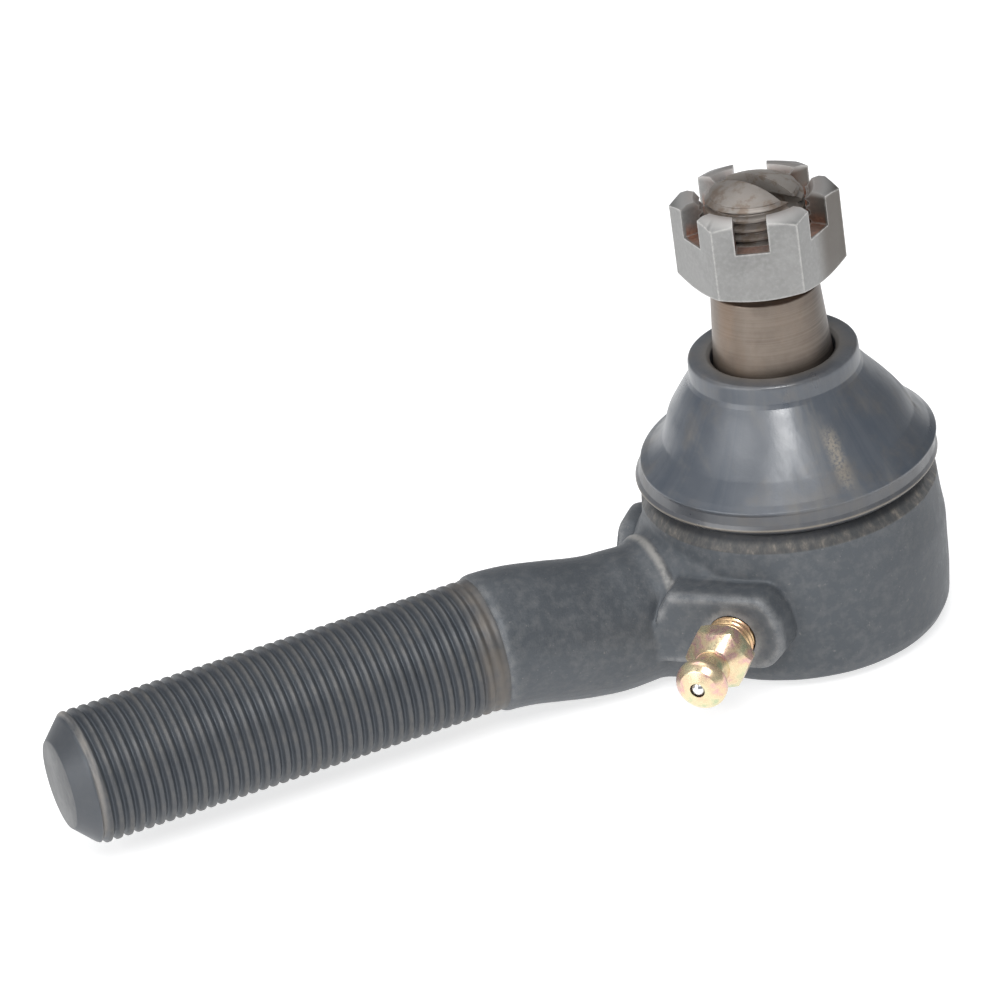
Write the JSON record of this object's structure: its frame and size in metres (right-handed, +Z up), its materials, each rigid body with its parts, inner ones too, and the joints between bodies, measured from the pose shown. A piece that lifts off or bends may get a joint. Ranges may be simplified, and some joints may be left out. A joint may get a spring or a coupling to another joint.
{
  "type": "tie rod end",
  "caption": "Greasable steering tie rod end: threaded shank, forged ball socket, tapered stud with slotted nut, rubber dust cover and grease fitting",
  "frame": {"origin": "middle of the cover plate's flat underside, on the ball stud's axis", "axes": "+Z up the ball stud toward its nut; -X out along the threaded shank to its end; +Y completes the frame, with the grease fitting on the -X -Y side"},
  "size_m": [0.1231, 0.0471, 0.0644],
  "materials": {
    "forging": "forged steel, fine-grained dark blue-grey phosphate",
    "stud": "ground alloy steel with a light brown tint",
    "half_ball": "ground bearing steel",
    "nut": "bright zinc-grey steel, lightly worn edges",
    "upper_bearing": "sintered steel, oiled",
    "lower_bearing": "moulded acetal",
    "preload_spring": "blued spring steel",
    "cover_plate": "pressed steel, dark phosphate",
    "cover_seal": "nitrile rubber",
    "dust_cover": "satin dark blue-grey moulded rubber",
    "boot_base_ring": "plain steel band",
    "grease_fitting": "steel with iridescent yellow zinc passivate",
    "check_ball": "polished bearing ball",
    "fitting_spring": "fine spring wire"
  },
  "bodies": {
    "housing": {"socket_housing": "forging", "upper_bearing": "upper_bearing", "lower_bearing": "lower_bearing", "preload_spring": "preload_spring", "cover_plate": "cover_plate", "cover_seal": "cover_seal", "boot_base_ring": "boot_base_ring", "grease_fitting_body": "grease_fitting", "fitting_spring": "fitting_spring"},
    "boot": {"dust_cover": "dust_cover"},
    "half_ball": {"half_ball": "half_ball"},
    "stud": {"ball_stud": "stud", "slotted_nut": "nut"},
    "check_ball": {"fitting_check_ball": "check_ball"}
  },
  "joints": [
    {"name": "stud_swing", "type": "hinge", "parent": "housing", "child": "boot", "pos_m": [0, 0, 0.0126], "axis": [0, 1, 0], "range_deg": [-18, 18], "deforming": ["dust_cover"]},
    {"name": "stud_rock", "type": "hinge", "parent": "boot", "child": "half_ball", "pos_m": [0, 0, 0.0126], "axis": [1, 0, 0], "range_deg": [-18, 18], "deforming": ["dust_cover"]},
    {"name": "stud_spin", "type": "hinge", "parent": "half_ball", "child": "stud", "pos_m": [0, 0, 0.0126], "axis": [0, 0, 1], "continuous": true},
    {"name": "check_ball_travel", "type": "slide", "parent": "housing", "child": "check_ball", "axis": [0.7071, 0.7071, 0], "range_m": [0, 0.0008], "stiffness_N_per_m": 200, "springref_m": -0.001, "deforming": ["fitting_spring"]}
  ]
}
